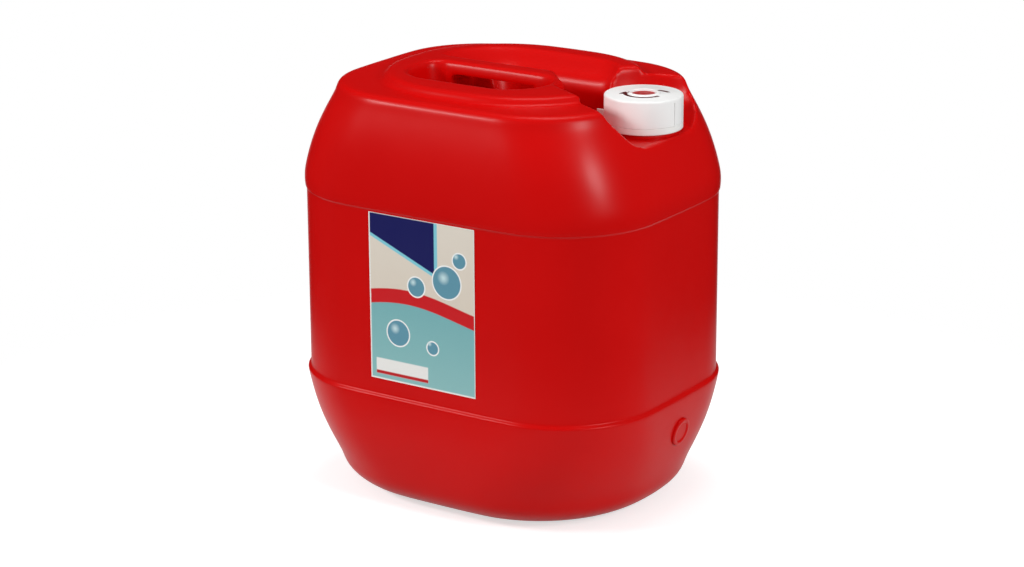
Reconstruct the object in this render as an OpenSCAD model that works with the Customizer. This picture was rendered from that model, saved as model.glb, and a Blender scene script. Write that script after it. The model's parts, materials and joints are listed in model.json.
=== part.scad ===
// Thirty litre blow moulded plastic canister with a screw cap, a grip bar sunk in its top and a front label.
// Millimetres. +Z up, +X to the right along the label face, -Y out of the label face, base plane at z = 0.

/* [Body] */
// Width of the straight middle band along X
body_width = 358; // [120:1:600]
// Depth of the straight middle band along Y
body_depth = 281; // [100:1:500]
// Corner radius of the middle band seen from above
body_corner = 95; // [20:1:140]
// Height of the ridge below the middle band
lower_ridge_z = 111.6; // [40:0.1:200]
// Height of the ridge above the middle band
upper_ridge_z = 284.4; // [150:0.1:420]
// How far the lower part stands out of the middle band at its ridge
lower_bulge = 2.5; // [0:0.1:8]
// How far the shoulder stands out of the middle band at its ridge
upper_bulge = 1.5; // [0:0.1:8]
// Outward bow of the tapered lower part and shoulder
taper_bow = 3; // [0:0.1:8]
// Wall thickness of the moulding
wall = 2.2; // [1:0.1:6]

/* [Base] */
// Height at which the lower taper turns into the rounded heel
heel_z = 30.6; // [5:0.1:80]
// How far the rounded heel runs in under the base
heel_run = 50; // [5:1:100]
// Inset of the lower taper along X at the heel
heel_inset_x = 15; // [0:0.5:60]
// Inset of the lower taper along Y at the heel
heel_inset_y = 2.5; // [0:0.5:60]
// Corner radius at the top of the heel
heel_corner = 126; // [20:1:135]

/* [Shoulder] */
// Height of the flat ledge on top
ledge_z = 386; // [200:0.5:600]
// Inset of the ledge's edge along X, before its rounding
ledge_inset_x = 29.5; // [0:0.5:90]
// Inset of the ledge's edge along Y, before its rounding
ledge_inset_y = 12; // [0:0.5:90]
// Corner radius of the ledge
ledge_corner = 90; // [20:1:135]
// Rounding between the shoulder and the ledge, down
ledge_round_z = 10; // [1:0.5:40]
// Rounding between the shoulder and the ledge, inwards
ledge_round_in = 8; // [1:0.5:40]

/* [Stacking ring] */
// Height of the raised ring above the ledge
ring_rise = 7; // [1:0.5:30]
// Distance of the ring's left end from the body's left side
ring_inset_left = 61; // [40:1:120]
// Distance of the ring's right end from the body's right side
ring_inset_right = 61; // [40:1:120]
// Distance of the ring's front edge from the body's front
ring_inset_front = 36.5; // [24:0.5:60]
// Distance of the ring's back edge from the body's back
ring_inset_back = 28.5; // [24:0.5:60]
// Corner radius of the ring
ring_corner = 98; // [10:1:100]
// Slope of the ring's outer wall, measured sideways
ring_slope = 4; // [0:0.5:12]

/* [Grip] */
// Distance of the finger pocket's left end from the ring's left end
pocket_margin = 33; // [15:1:80]
// Distance of the pocket's right end from the neck axis
pocket_to_neck = 71; // [66:1:120]
// Length of the pocket from front to back
pocket_length = 66; // [66:0.5:80]
// Drop of the floor of pocket, passage and recess below the ledge
pocket_drop = 40; // [20:0.5:60]
// Middle of the grip bar along Y
bar_y = 10.25; // [0:0.25:30]
// Width of the grip bar
bar_width = 23.5; // [14:0.5:40]
// Thickness of the grip bar, down from the ring's top
bar_thick = 12; // [8:0.5:24]
// Width of the recess behind the grip bar
recess_width = 30; // [30:1:50]
// Distance of the recess's left end from the ring's left end
recess_margin = 68; // [20:1:120]
// Distance of the recess's right end, inside the bowl, from the neck axis
recess_to_neck = 58; // [40:1:64]
// Distance of the hand passage's left end from the pocket's
passage_margin_left = 19; // [17:0.5:60]
// Distance of the hand passage's right end from the pocket's
passage_margin_right = 31.5; // [30:0.5:60]
// Corner radius of the hand passage
passage_corner = 7; // [3:0.5:12]
// Front corner radius of the pocket seen from above
pocket_corner = 38; // [12:1:38]
// Back left corner radius of the pocket
pocket_back_left = 16; // [12:1:28]
// Back right corner radius of the pocket
pocket_back_right = 28; // [12:1:28]
// Distance from the neck axis at which the bar's back edge turns into the slanted rim
bar_end_to_neck = 97; // [80:1:140]
// Turn of the slanted rim away from the bar's back edge
bar_end_turn = 47.8; // [20:0.1:60]
// Rounding of that turn
bar_round = 20; // [8:1:24]
// Length of the slanted rim, which ends inside the bowl
bar_rim = 34; // [24:1:44]
// Corner radius of the recess seen from above
recess_corner = 14; // [10:1:14]

/* [Neck] */
// Distance of the neck axis from the body's right side
neck_inset = 51; // [48:0.5:80]
// Neck axis along Y
neck_y = 20; // [-30:0.5:40]
// Height of the neck's rim above the bowl's floor
neck_height = 30; // [22:0.5:50]
// Outside radius of the neck at its thread root
neck_r = 30; // [20:0.1:34]
// Wall thickness of the neck
neck_wall = 3.5; // [2:0.1:8]
// Depth of the bowl around the neck below the ledge
bowl_depth = 36.5; // [24:0.5:50]
// Clearance for fingers between the cap and the edge of the bowl's floor
bowl_gap = 10.4; // [6:0.1:16]
// How far the bowl widens from its floor to its top
bowl_flare = 20; // [10:1:30]
// Middle of the bowl along Y from the neck axis
bowl_shift = -14; // [-20:1:10]
// Length of the bowl along Y over its length along X
bowl_stretch = 1.27; // [1:0.01:1.4]
// Clearance between the cap and the foot of the bowl's straight front wall
bowl_front_gap = 3.4; // [2:0.1:10]
// How far that front wall leans out from its foot to its top
bowl_front_lean = 33; // [20:1:40]
// Direction the front wall faces away from, seen from above
bowl_front_turn = 29.3; // [20:0.1:40]
// Step from the neck out to the collar that carries the tamper ring
collar_step = 3.2; // [2:0.1:6]
// Height of the collar above the bowl's floor
collar_rise = 3.5; // [2:0.1:8]

/* [Closure] */
// Wall thickness of the cap's skirt
cap_wall = 3; // [1.5:0.1:6]
// Thickness of the cap's top
cap_plate = 2.4; // [1.8:0.1:6]
// Depth of the thread on neck and cap
thread_depth = 2; // [0.5:0.1:4]
// Running gap between thread tips and the other part
thread_gap = 0.6; // [0.2:0.1:1.5]
// Thickness of the sealing wad under the cap's top
wad_thickness = 1.6; // [0.5:0.1:4]
// Gap between the wad's edge and the cap
wad_gap = 0.5; // [0.2:0.1:1.5]
// Radius of the red vent plug in the cap's top
plug_r = 11; // [3:0.1:20]
// Depth of the plug's seat
plug_seat = 1.2; // [0.4:0.1:1.4]
// How far the plug stands above the cap
plug_rise = 0.4; // [0:0.1:3]
// Height of the tamper ring
tamper_height = 5.4; // [3:0.1:10]
// Gap between cap and tamper ring
ring_gap = 0.6; // [0.3:0.1:2]
// Gap between the neck and the tamper ring
tamper_gap = 1.4; // [0.4:0.1:1.8]
// Reach of the tear tab out of the tamper ring
tab_reach = 13.4; // [4:0.1:20]
// Height of the tear tab
tab_height = 9; // [2:0.5:12]
// Thickness of the tear tab
tab_thick = 1.6; // [0.5:0.1:4]

/* [Boss] */
// Radius of the tap boss low on the right side
boss_r = 13.5; // [3:0.5:40]
// Height of the boss's centre
boss_z = 75.3; // [20:1:200]
// Place of the boss along Y
boss_y = 8; // [-100:1:100]
// How far the boss's face stands out of the side at its centre
boss_stand = 1.8; // [1:0.1:4]
// Lean of the boss's face, which follows the taper
boss_lean = 11.5; // [0:0.5:30]
// Depth of the boss below its face
boss_depth = 5; // [2:0.1:12]
// Depth of the dish in the boss's face
boss_dish = 1; // [0.2:0.1:3]

/* [Label] */
// Width of the label
label_width = 114; // [20:1:300]
// Middle of the label along X
label_x = -4; // [-100:1:100]
// Height of the label
label_height = 156; // [20:1:165]
// Gap between the label's top edge and the upper ridge
label_gap = 0.9; // [0.2:0.1:20]
// Thickness of the label
label_thick = 0.25; // [0.1:0.05:1]

/* [Hidden] */
half_w = body_width / 2;
half_d = body_depth / 2;
ring_top_z = ledge_z + ring_rise;
ring_left = -half_w + ring_inset_left;
ring_right = half_w - ring_inset_right;
ring_front = -half_d + ring_inset_front;
ring_back = half_d - ring_inset_back;
neck_x = half_w - neck_inset;
bar_front = bar_y - bar_width / 2;
bar_back = bar_y + bar_width / 2;
bar_under_z = ring_top_z - bar_thick;
bar_end_x = neck_x - bar_end_to_neck;
pocket_left = ring_left + pocket_margin;
pocket_right = neck_x - pocket_to_neck;
pocket_front = bar_front - pocket_length;
pocket_floor_z = ledge_z - pocket_drop;
recess_left = ring_left + recess_margin;
recess_right = neck_x - recess_to_neck;
recess_back = bar_back + recess_width;
passage_left = pocket_left + passage_margin_left;
passage_right = pocket_right - passage_margin_right;
bowl_floor_z = ledge_z - bowl_depth;
neck_top_z = bowl_floor_z + neck_height;
neck_bore_r = neck_r - neck_wall;
collar_r = neck_r + collar_step;
collar_z = bowl_floor_z + collar_rise;
tamper_bore_r = neck_r + tamper_gap;
cap_bore_r = neck_r + thread_depth + thread_gap;
cap_r = cap_bore_r + cap_wall;
cap_bottom_z = collar_z + tamper_height + ring_gap;
cap_top_z = neck_top_z + wad_thickness + cap_plate;
bowl_y = neck_y + bowl_shift;
bowl_floor_r = cap_r + bowl_gap;
bowl_top_r = bowl_floor_r + bowl_flare;
bowl_front_reach = cap_r + bowl_front_gap + bowl_front_lean;
label_top_z = upper_ridge_z - label_gap;
label_bottom_z = label_top_z - label_height;
boss_k = (boss_z - heel_z) / (lower_ridge_z - 4 - heel_z);
boss_face_x = half_w - heel_inset_x + (heel_inset_x + lower_bulge) * boss_k + taper_bow * sin(180 * boss_k) + boss_stand;
corner_steps = 8;
taper_steps = 5;
heel_steps = 5;

// Outline of a rounded rectangle around (cx, cy), anticlockwise from its right side.
// Its corner radius is one number, or four from the back right corner on.
function outline(a, b, r, cx, cy) =
  [for (q = [0:3]) for (i = [0:corner_steps])
    let (t = 90 * (q + i / corner_steps), sx = (q == 0 || q == 3) ? 1 : -1, sy = (q < 2) ? 1 : -1,
         rq = is_num(r) ? min(r, a - 0.5, b - 0.5) : r[q])
    [cx + sx * (a - rq) + rq * cos(t), cy + sy * (b - rq) + rq * sin(t)]];

// Solid through a stack of rounded rectangles, each [z, half width, half depth, corner, cx, cy].
module loft(levels) {
  m = 4 * (corner_steps + 1);
  k = len(levels);
  points = [for (s = levels) for (p = outline(s[1], s[2], s[3], s[4], s[5])) [p[0], p[1], s[0]]];
  bottom = [[for (i = [0:m - 1]) i]];
  top = [[for (i = [m - 1:-1:0]) (k - 1) * m + i]];
  lower = [for (j = [0:k - 2]) for (i = [0:m - 1]) [j * m + i, (j + 1) * m + i, (j + 1) * m + (i + 1) % m]];
  upper = [for (j = [0:k - 2]) for (i = [0:m - 1]) [j * m + i, (j + 1) * m + (i + 1) % m, j * m + (i + 1) % m]];
  polyhedron(points = points, faces = concat(bottom, top, lower, upper), convexity = 6);
}

// Levels of the body's form, moved inwards by t all round.
function heel_levels(t) =
  [for (i = [0:heel_steps])
    let (w = 90 * (1 - i / heel_steps), run = heel_run * (1 - cos(w)))
    [t + (heel_z - t) * (1 - sin(w)),
     half_w - heel_inset_x - run - t * cos(w), half_d - heel_inset_y - run - t * cos(w),
     heel_corner - run - t, 0, 0]];

function lower_levels(t) =
  [for (i = [1:taper_steps])
    let (k = i / taper_steps, bow = taper_bow * sin(180 * k))
    [heel_z + (lower_ridge_z - 4 - heel_z) * k,
     half_w - heel_inset_x + (heel_inset_x + lower_bulge) * k + bow - t,
     half_d - heel_inset_y + (heel_inset_y + lower_bulge) * k + bow - t,
     heel_corner + (body_corner + lower_bulge - heel_corner) * k - t, 0, 0]];

function band_levels(t) =
  [[lower_ridge_z - 1, half_w + lower_bulge * 0.85 - t, half_d + lower_bulge * 0.85 - t, body_corner + 1 - t, 0, 0],
   [lower_ridge_z + 1.4, half_w - t, half_d - t, body_corner - t, 0, 0],
   [upper_ridge_z, half_w - t, half_d - t, body_corner - t, 0, 0],
   [upper_ridge_z + 2, half_w + upper_bulge * 0.8 - t, half_d + upper_bulge * 0.8 - t, body_corner + 1 - t, 0, 0],
   [upper_ridge_z + 9, half_w + upper_bulge * 1.1 - t, half_d + upper_bulge * 1.1 - t, body_corner + 1 - t, 0, 0]];

shoulder_z = upper_ridge_z + 16.6;
function shoulder_levels(t) =
  [for (i = [0:taper_steps])
    let (k = i / taper_steps, bow = taper_bow * sin(180 * k))
    [shoulder_z + (ledge_z - ledge_round_z - shoulder_z) * k,
     half_w + upper_bulge - (ledge_inset_x + upper_bulge) * k + bow - t,
     half_d + upper_bulge - (ledge_inset_y + upper_bulge) * k + bow - t,
     body_corner + upper_bulge + (ledge_corner - body_corner - upper_bulge) * k - t, 0, 0]];

function ledge_levels(t) =
  [for (i = [1:4])
    let (w = 22.5 * i)
    [ledge_z - ledge_round_z + (ledge_round_z - t) * sin(w),
     half_w - ledge_inset_x - ledge_round_in * (1 - cos(w)) - t * cos(w),
     half_d - ledge_inset_y - ledge_round_in * (1 - cos(w)) - t * cos(w),
     ledge_corner - ledge_round_in * (1 - cos(w)) - t, 0, 0]];

module body_form(t) {
  loft(concat(heel_levels(t), lower_levels(t), band_levels(t), shoulder_levels(t), ledge_levels(t)));
}

// Raised ring on the ledge, moved inwards by t; its foot is sunk into the body.
ring_cx = (ring_left + ring_right) / 2;
ring_cy = (ring_front + ring_back) / 2;
ring_half_w = (ring_right - ring_left) / 2;
ring_half_d = (ring_back - ring_front) / 2;
module ring_form(t) {
  foot = [ledge_z - 12, 0];
  low = [ledge_z, 0];
  high = [ring_top_z - 2.5 - t * 0.6, ring_slope * 0.6];
  edge = [ring_top_z - t, ring_slope + 1.5];
  loft([for (s = [foot, low, high, edge])
    [s[0], ring_half_w - s[1] - t, ring_half_d - s[1] - t, ring_corner - s[1] - t, ring_cx, ring_cy]]);
}

// A pocket with a rounded floor, slightly flared walls and a rounded lip, made larger by t.
module pocket_form(x0, x1, y0, y1, r, z0, z1, flare, t) {
  a = (x1 - x0) / 2;
  b = (y1 - y0) / 2;
  levels = [
    [z0 - t, -flare - 4], [z0 + 1.2 - t * 0.7, -flare - 1.2], [z0 + 4 - t * 0.3, -flare],
    [z1 - 4, 0], [z1 - 1.2, 0.9], [z1, 2.4], [z1 + 12, 2.4]];
  loft([for (s = levels)
    [s[0], a + s[1] + t, b + s[1] + t, [for (q = r) q + s[1] + t], (x0 + x1) / 2, (y0 + y1) / 2]]);
}

// Oval bowl around the neck, made larger by t.
module bowl_round(t) {
  rise = ledge_z - 5 - bowl_floor_z;
  run = bowl_top_r - 1 - bowl_floor_r;
  translate([neck_x, bowl_y, 0])
    scale([1, bowl_stretch, 1])
      rotate_extrude($fn = 60)
        polygon([
          [0, bowl_floor_z - t], [bowl_floor_r, bowl_floor_z - t],
          [bowl_floor_r + run * 0.17 + t * 0.6, bowl_floor_z + rise * 0.09 - t * 0.8],
          [bowl_floor_r + run * 0.72 + t * 0.8, bowl_floor_z + rise * 0.44 - t * 0.5],
          [bowl_floor_r + run * 0.92 + t, bowl_floor_z + rise * 0.73 - t * 0.2],
          [bowl_floor_r + run + t, bowl_floor_z + rise],
          [bowl_top_r + t, ring_top_z - 3], [bowl_top_r + 2.5 + t, ring_top_z],
          [bowl_top_r + 2.5 + t, ring_top_z + 12], [0, ring_top_z + 12]]);
}

// Block behind the bowl's straight front wall, which leans back towards the floor, made larger by t.
module bowl_front(t) {
  z0 = bowl_floor_z;
  h = bowl_depth;
  s = bowl_front_lean;
  top = ring_top_z + 14;
  translate([neck_x, neck_y, 0])
    rotate([90, 0, 90 - bowl_front_turn])
      translate([-bowl_front_reach, 0, -body_depth / 2])
        linear_extrude(height = body_depth)
          polygon([
            [s * 1.03 - t * 0.4, z0 - t - 3], [s - t * 0.4, z0 + h * 0.047 - t],
            [s * 0.85 - t * 0.5, z0 + h * 0.137 - t * 0.9], [s * 0.7 - t * 0.6, z0 + h * 0.247 - t * 0.8],
            [s * 0.5 - t * 0.7, z0 + h * 0.425 - t * 0.7], [s * 0.28 - t * 0.8, z0 + h * 0.622 - t * 0.6],
            [s * 0.09 - t * 0.9, z0 + h * 0.822 - t * 0.4], [-t, z0 + h * 0.973],
            [-t, ring_top_z - 2.8], [-2 - t, ring_top_z + 0.2], [-2 - t, top],
            [body_width, top], [body_width, z0 - t - 3]]);
}

module bowl_form(t) {
  intersection() {
    bowl_round(t);
    bowl_front(t);
  }
}

// Cut that turns the grip bar's back edge into the slanted rim beside the bowl, made larger by t.
module bar_corner_form(t) {
  cx = bar_end_x - bar_round * tan(bar_end_turn / 2);
  cy = bar_back - bar_round;
  start = 90 - bar_end_turn;
  r = bar_round - t;
  end = [cx + r * cos(start) + bar_rim * cos(bar_end_turn), cy + r * sin(start) - bar_rim * sin(bar_end_turn)];
  translate([0, 0, pocket_floor_z + 3.1 - t])
    linear_extrude(height = ring_top_z + 12 - pocket_floor_z)
      polygon(concat(
        [for (k = [0:4]) let (w = start + (80 - start) * k / 4) [cx + r * cos(w), cy + r * sin(w)]],
        [[cx + 7, bar_back + 12], [end[0] + 18, bar_back + 12], [end[0] + 18, end[1]], end]));
}

// Hand passage under the grip bar, made larger by t.
module passage_form(t) {
  floor_z = pocket_floor_z + 2.3;
  h = bar_under_z - floor_z + 2 * t;
  translate([0, bar_back + 12, 0])
    rotate([90, 0, 0])
      linear_extrude(height = bar_back + 12 - (bar_front - 14))
        translate([(passage_left + passage_right) / 2, (bar_under_z + floor_z) / 2])
          offset(r = passage_corner + t, $fn = 24)
            square([passage_right - passage_left - 2 * passage_corner, h - 2 * passage_corner - 2 * t], center = true);
}

module hollows(t) {
  pocket_form(pocket_left, pocket_right, pocket_front, bar_front,
              [pocket_back_right, pocket_back_left, pocket_corner, pocket_corner],
              pocket_floor_z, ring_top_z, 4, t);
  pocket_form(recess_left, recess_right, bar_back, recess_back,
              [recess_corner, recess_corner, recess_corner, recess_corner],
              pocket_floor_z, ring_top_z, 5, t);
  passage_form(t);
  bar_corner_form(t);
  bowl_form(t);
}

module form(t) {
  difference() {
    union() {
      body_form(t);
      ring_form(t);
    }
    hollows(t);
  }
}

// One blown shell of even wall, with the pouring hole left open under the neck.
module shell() {
  minkowski() {
    difference() {
      form(0);
      form(wall);
      translate([neck_x, neck_y, bowl_floor_z - wall - 6])
        cylinder(h = 30, r = (neck_r + neck_bore_r) / 2, $fn = 64);
    }
  }
}

module canister() {
  color([0.8, 0.02, 0.03]) {
    shell();
    translate([neck_x, neck_y, 0])
      rotate_extrude($fn = 96)
        polygon([
          [neck_bore_r, bowl_floor_z - wall - 1.5], [neck_r + 1.5, bowl_floor_z - wall - 1.5],
          [neck_r + 1.5, bowl_floor_z - 0.5], [collar_r, bowl_floor_z - 0.5],
          [collar_r, collar_z], [neck_r, collar_z],
          [neck_r, neck_top_z - 0.8], [neck_r - 0.8, neck_top_z], [neck_bore_r, neck_top_z]]);
    translate([boss_face_x, boss_y, boss_z])
      rotate([0, 90 + boss_lean, 0])
        rotate_extrude($fn = 48)
          polygon([
            [0, -boss_depth], [boss_r, -boss_depth], [boss_r, -0.8], [boss_r - 0.8, 0],
            [boss_r - 3.5, 0], [boss_r - 4.5, -boss_dish], [0, -boss_dish]]);
  }
}

module tamper_ring() {
  ring_top = cap_bottom_z - ring_gap;
  color([0.93, 0.93, 0.91])
    translate([neck_x, neck_y, 0]) {
      difference() {
        union() {
          translate([0, 0, collar_z])
            cylinder(h = ring_top - collar_z, r = cap_r, $fn = 96);
          translate([-cap_r - tab_reach, -tab_thick / 2, collar_z])
            cube([tab_reach + 1, tab_thick, ring_top - collar_z]);
          translate([-cap_r - tab_reach, -tab_thick / 2, collar_z])
            cube([tab_reach - ring_gap, tab_thick, tab_height]);
        }
        translate([0, 0, collar_z - 1])
          cylinder(h = ring_top - collar_z + 2, r = tamper_bore_r, $fn = 96);
      }
    }
}

module label() {
  color([0.86, 0.9, 0.86])
    translate([label_x - label_width / 2, -half_d - label_thick, label_bottom_z])
      cube([label_width, label_thick, label_top_z - label_bottom_z]);
}

module sealing_wad() {
  color([0.9, 0.9, 0.86])
    translate([neck_x, neck_y, neck_top_z])
      cylinder(h = wad_thickness, r = cap_bore_r - wad_gap, $fn = 96);
}

module screw_cap() {
  inner_top = neck_top_z + wad_thickness;
  color([0.95, 0.95, 0.95])
    translate([neck_x, neck_y, 0])
      rotate_extrude($fn = 96)
        polygon([
          [0, inner_top], [cap_bore_r, inner_top], [cap_bore_r, cap_bottom_z],
          [cap_r, cap_bottom_z], [cap_r, cap_top_z - 3], [cap_r - 0.9, cap_top_z - 0.9],
          [cap_r - 3, cap_top_z], [plug_r, cap_top_z], [plug_r, cap_top_z - plug_seat],
          [0, cap_top_z - plug_seat]]);
}

module vent_plug() {
  color([0.75, 0.04, 0.05])
    translate([neck_x, neck_y, cap_top_z - plug_seat])
      cylinder(h = plug_seat + plug_rise, r = plug_r, $fn = 64);
}

canister();
tamper_ring();
label();
sealing_wad();
screw_cap();
vent_plug();
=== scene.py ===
# %% [markdown]
# # A red thirty litre canister with a white screw cap
# The solids come from the packed frame, in metres, with +Z up and the label facing -Y.
# This lesson dresses them: it models the blown body again with soft edges, the screw
# neck, the cap, the tamper band and the plug, prints a plain label, and lights it all.

# %% Load the frame
import bpy
import bmesh
import json
from math import cos, pi, radians, sin, tan
from mathutils import Matrix, Vector

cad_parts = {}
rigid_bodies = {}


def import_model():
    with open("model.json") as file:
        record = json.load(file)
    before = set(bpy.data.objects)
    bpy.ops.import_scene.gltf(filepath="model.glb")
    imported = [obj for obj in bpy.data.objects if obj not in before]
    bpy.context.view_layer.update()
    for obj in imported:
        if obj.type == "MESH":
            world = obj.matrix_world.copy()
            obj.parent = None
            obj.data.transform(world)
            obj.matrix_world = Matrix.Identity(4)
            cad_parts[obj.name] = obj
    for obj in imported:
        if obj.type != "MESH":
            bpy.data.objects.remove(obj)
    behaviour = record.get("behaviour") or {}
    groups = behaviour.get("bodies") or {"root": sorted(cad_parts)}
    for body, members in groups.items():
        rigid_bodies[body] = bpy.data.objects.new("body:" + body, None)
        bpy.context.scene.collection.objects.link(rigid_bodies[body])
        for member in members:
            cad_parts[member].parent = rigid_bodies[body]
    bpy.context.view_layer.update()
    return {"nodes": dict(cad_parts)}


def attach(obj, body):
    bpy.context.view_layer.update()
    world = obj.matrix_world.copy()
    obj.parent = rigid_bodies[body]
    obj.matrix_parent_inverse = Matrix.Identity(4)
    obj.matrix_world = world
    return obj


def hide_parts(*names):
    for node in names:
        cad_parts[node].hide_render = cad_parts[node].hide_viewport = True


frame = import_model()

MM = 0.001

# %% [markdown]
# ## The camera
# The photograph looks down a little on the front right corner from about two and a half
# metres, through a long lens. Its direction was solved from the edges of the body, so
# the camera gets its three axes as a matrix, which holds the slight roll as well. A
# Track To constraint would aim it too, but it keeps the horizon dead level.

# %% Camera
AZIMUTH, ELEVATION, ROLL = radians(33.593), radians(17.173), radians(0.275)
DISTANCE, FOCAL_PIXELS = 2658.9 * MM, 2864.4
PHOTO_WIDTH, SENSOR_WIDTH = 1024, 36
AIM_HEIGHT, AIM_DOWN, AIM_LEFT = 210.6 * MM, 20.15, 0.69
back = Vector((sin(AZIMUTH) * cos(ELEVATION), -cos(AZIMUTH) * cos(ELEVATION), sin(ELEVATION)))
right = Vector((cos(AZIMUTH), sin(AZIMUTH), 0))
up = back.cross(right)
eye = Vector((0, 0, AIM_HEIGHT)) - up * AIM_DOWN * MM - right * AIM_LEFT * MM + back * DISTANCE
side = right * cos(ROLL) - up * sin(ROLL)
over = right * sin(ROLL) + up * cos(ROLL)

camera = bpy.data.objects.new("camera", bpy.data.cameras.new("camera"))
camera.data.sensor_width = SENSOR_WIDTH
camera.data.lens = FOCAL_PIXELS / PHOTO_WIDTH * SENSOR_WIDTH
camera.data.clip_end = 50
camera.matrix_world = Matrix.Translation(eye) @ Matrix((side, over, back)).transposed().to_4x4()
bpy.context.scene.collection.objects.link(camera)
bpy.context.scene.camera = camera
print("camera at", [round(c, 3) for c in eye], "lens", round(camera.data.lens, 1))

# %% [markdown]
# ## Rings and a skin over them
# A moulded body is a stack of rounded rectangles. A scaled and bevelled cube would give
# one rounded box, but no ridges and no lean. So each ring starts as a circle, whose
# points are slid to the four corners, and bridge_loops skins one ring to the next.
# The cage is coarse on purpose: Subdivision Surface makes it smooth afterwards.

# %% One rounded rectangle
STEPS = 8
PER_RING = 4 * (STEPS + 1)


def ring(bm, z, half_x, half_y, corner, cx=0.0, cy=0.0):
    """Adds a ring in millimetres; corner is one radius, or four from the back right on."""
    verts = bmesh.ops.create_circle(bm, segments=PER_RING, radius=1)["verts"]
    for i, v in enumerate(verts):
        quarter, k = divmod(i, STEPS + 1)
        if isinstance(corner, (list, tuple)):
            r = corner[quarter]
        else:
            r = min(corner, half_x - 0.5, half_y - 0.5)
        sx = 1 if quarter in (0, 3) else -1
        sy = 1 if quarter < 2 else -1
        angle = radians(90 * (quarter + k / STEPS))
        x = cx + sx * (half_x - r) + r * cos(angle)
        y = cy + sy * (half_y - r) + r * sin(angle)
        v.co = Vector((x, y, z)) * MM
    return list({e for v in verts for e in v.link_edges})


print("points in a ring:", PER_RING)

# %% A skin over a stack of rings
END_SHARE = 0.9


def drawn_in(level):
    """The same level with a smaller ring: it holds the edge of the closed end."""
    z, half_x, half_y, corner, *middle = level
    if isinstance(corner, (list, tuple)):
        corner = [r * END_SHARE for r in corner]
    else:
        corner = corner * END_SHARE
    return [z, half_x * END_SHARE, half_y * END_SHARE, corner, *middle]


def skin_over(bm, levels):
    """Bridges a ring at every level and closes both ends."""
    rings = [ring(bm, *level) for level in [drawn_in(levels[0]), *levels, drawn_in(levels[-1])]]
    for low, high in zip(rings, rings[1:]):
        bmesh.ops.bridge_loops(bm, edges=low + high)
    bmesh.ops.contextual_create(bm, geom=rings[0])
    bmesh.ops.contextual_create(bm, geom=rings[-1])
    bmesh.ops.recalc_face_normals(bm, faces=bm.faces)


print("a closed end is a face of", END_SHARE, "of its ring")

# %% [markdown]
# ## From a bmesh to an object
# A bmesh is only a workbench. These helpers put its mesh into an object, round it with
# Subdivision Surface, cut it with a Boolean and then keep the result as the object's
# own mesh, so that no modifier is left to surprise a later step.

# %% Objects and modifiers
def piece(name, bm):
    """Turns a bmesh into a linked object with smooth faces."""
    mesh = bpy.data.meshes.new(name)
    bm.to_mesh(mesh)
    bm.free()
    mesh.shade_smooth()
    obj = bpy.data.objects.new(name, mesh)
    bpy.context.scene.collection.objects.link(obj)
    return obj


def smoothed(obj, levels=2):
    """Adds Subdivision Surface with the same levels in the view and the render."""
    mod = obj.modifiers.new("round", "SUBSURF")
    mod.levels = mod.render_levels = levels
    return obj


def baked(obj):
    """Puts the result of the modifiers into the object's own mesh."""
    bpy.context.view_layer.update()
    shown = obj.evaluated_get(bpy.context.evaluated_depsgraph_get())
    done = bpy.data.meshes.new_from_object(shown)
    obj.modifiers.clear()
    obj.data = done
    return obj


def cut(obj, tool, how="DIFFERENCE"):
    """Adds a Boolean that takes the closed tool away, or joins or crosses it with the object."""
    mod = obj.modifiers.new(tool.name, "BOOLEAN")
    mod.operation, mod.solver, mod.object = how, "MANIFOLD", tool
    return obj


def discard(*objects):
    for o in objects:
        bpy.data.objects.remove(o)


print("helpers ready:", ", ".join(f.__name__ for f in (piece, smoothed, baked, cut, discard)))

# %% [markdown]
# ## The blown body
# The real canister is one blown shell: a rounded heel, a lower part that swells to a
# ridge, a straight band for the label, a second ridge and a shoulder that leans in to
# the flat top. Sculpting would give that by eye; a list of levels gives it to the
# millimetre, and they are the same levels as the solid's.

# %% Sizes of the body
HALF_W, HALF_D, CORNER = 179.0, 140.5, 95.0
HEEL_Z, HEEL_RUN, HEEL_X, HEEL_Y, HEEL_CORNER = 30.6, 50.0, 15.0, 2.5, 126.0
RIDGE_LOW, RIDGE_HIGH, BOW = 111.6, 284.4, 3.0
LEDGE_Z, LEDGE_X, LEDGE_Y, LEDGE_CORNER = 386.0, 29.5, 12.0, 90.0
SWELL, LEAN_OUT, LEAN_Z = 2.5, 1.5, 16.6
EDGE_RISE, EDGE_RUN = 10, 8
print("body:", 2 * HALF_W, "by", 2 * HALF_D, "mm, ledge at", LEDGE_Z)


# %% Levels of the body
def heel_levels():
    """A quarter round from the base up, then the lower part, which swells to the ridge."""
    levels = []
    for i in range(6):
        w = radians(90 * (1 - i / 5))
        run = HEEL_RUN * (1 - cos(w))
        levels.append((HEEL_Z * (1 - sin(w)), HALF_W - HEEL_X - run,
                       HALF_D - HEEL_Y - run, HEEL_CORNER - run))
    for i in range(1, 6):
        k = i / 5
        bow = BOW * sin(pi * k)
        levels.append((HEEL_Z + (RIDGE_LOW - 4 - HEEL_Z) * k,
                       HALF_W - HEEL_X + (HEEL_X + SWELL) * k + bow,
                       HALF_D - HEEL_Y + (HEEL_Y + SWELL) * k + bow,
                       HEEL_CORNER + (CORNER + SWELL - HEEL_CORNER) * k))
    return levels


def band_levels():
    """The two ridges and the straight band between them: a height and how far it stands out."""
    low = ((-1.4, 2.4), (-0.4, 1.9), (1.2, 0.2), (2.4, 0), (12, 0))
    high = ((-12, 0), (-0.6, 0), (0.6, 0.2), (1.8, 1.1), (3.2, 1.4), (9, 1.6))
    steps = [(RIDGE_LOW + z, out) for z, out in low] + [(RIDGE_HIGH + z, out) for z, out in high]
    return [(z, HALF_W + out, HALF_D + out, CORNER + min(out, 1)) for z, out in steps]


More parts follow.
